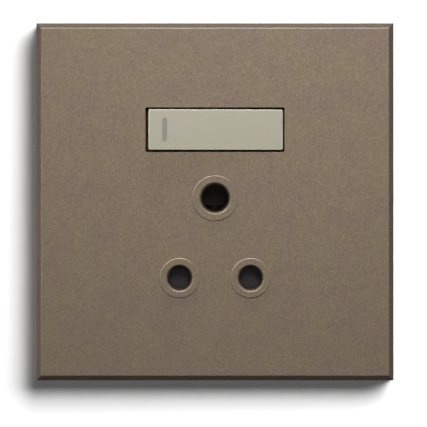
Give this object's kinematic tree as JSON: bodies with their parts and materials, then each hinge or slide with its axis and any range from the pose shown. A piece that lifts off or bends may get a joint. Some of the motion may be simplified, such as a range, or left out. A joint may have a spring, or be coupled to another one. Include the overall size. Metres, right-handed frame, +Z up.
{
  "type": "switched wall socket",
  "caption": "Square bevelled wall plate with a round-pin power socket under a wide flat rocker switch, on a wall-box frame.",
  "frame": {"origin": "centre of the square plate on the wall plane, midway between the two wall-box screws", "axes": "+X to the right as the socket is faced, +Z up, +Y into the wall, so the face looks along -Y"},
  "size_m": [0.128, 0.0382, 0.128],
  "materials": {
    "bronze_plate": "metallic bronze lacquer on a moulded plate, fine mottled grain",
    "champagne_rocker": "satin champagne lacquer",
    "grey_marker": "smooth grey marker bar",
    "black_moulding": "black moulded plastic",
    "white_moulding": "off-white moulded plastic",
    "grey_moulding": "light grey moulded plastic",
    "brass": "plain pressed and turned brass",
    "copper": "rolled copper alloy",
    "silver": "silver contact rivet",
    "zinc_steel": "zinc-plated steel",
    "spring_steel": "bright spring wire and strip"
  },
  "bodies": {
    "socket": {"cover_plate": "bronze_plate", "support_frame": "grey_moulding", "module_front": "black_moulding", "module_base": "white_moulding", "fixed_contact_tip": "silver", "pivot_bracket": "brass", "live_link": "brass", "live_sleeve": "brass", "neutral_sleeve": "brass", "earth_sleeve": "brass", "line_grip_rings": "spring_steel", "earth_grip_ring": "spring_steel", "neutral_strap": "brass", "earth_strap": "brass", "supply_terminal": "brass", "earth_terminal": "brass", "neutral_terminal": "brass", "terminal_screws": "brass", "housing_screws": "zinc_steel", "frame_screws": "zinc_steel", "shutter_spring": "spring_steel"},
    "rocker": {"rocker": "champagne_rocker", "rocker_lens": "grey_marker", "plunger_spring": "spring_steel"},
    "plunger": {"rocker_plunger": "white_moulding"},
    "contact_arm": {"contact_arm": "copper", "moving_contact_tip": "silver"},
    "shutter": {"shutter": "black_moulding"}
  },
  "joints": [
    {"name": "rocker_tilt", "type": "hinge", "parent": "socket", "child": "rocker", "pos_m": [0, -0.0042, 0.0258], "axis": [0, 0, -1], "range_deg": [0, 5.6]},
    {"name": "contact_tilt", "type": "hinge", "parent": "socket", "child": "contact_arm", "pos_m": [0, 0.0072, 0.0258], "axis": [0, 0, 1], "range_deg": [0, 10]},
    {"name": "plunger_slide", "type": "slide", "parent": "rocker", "child": "plunger", "axis": [-0.0489, 0.9988, 0], "range_m": [-0.0008, 0], "stiffness_N_per_m": 150, "springref_m": 0.002, "deforming": ["plunger_spring"]},
    {"name": "shutter_slide", "type": "slide", "parent": "socket", "child": "shutter", "axis": [0, 0, 1], "range_m": [0, 0.0076], "stiffness_N_per_m": 250, "springref_m": -0.002, "deforming": ["shutter_spring"]}
  ],
  "couplings": [
    {"joint": "contact_tilt", "follows": "rocker_tilt", "ratio": 1.785}
  ]
}
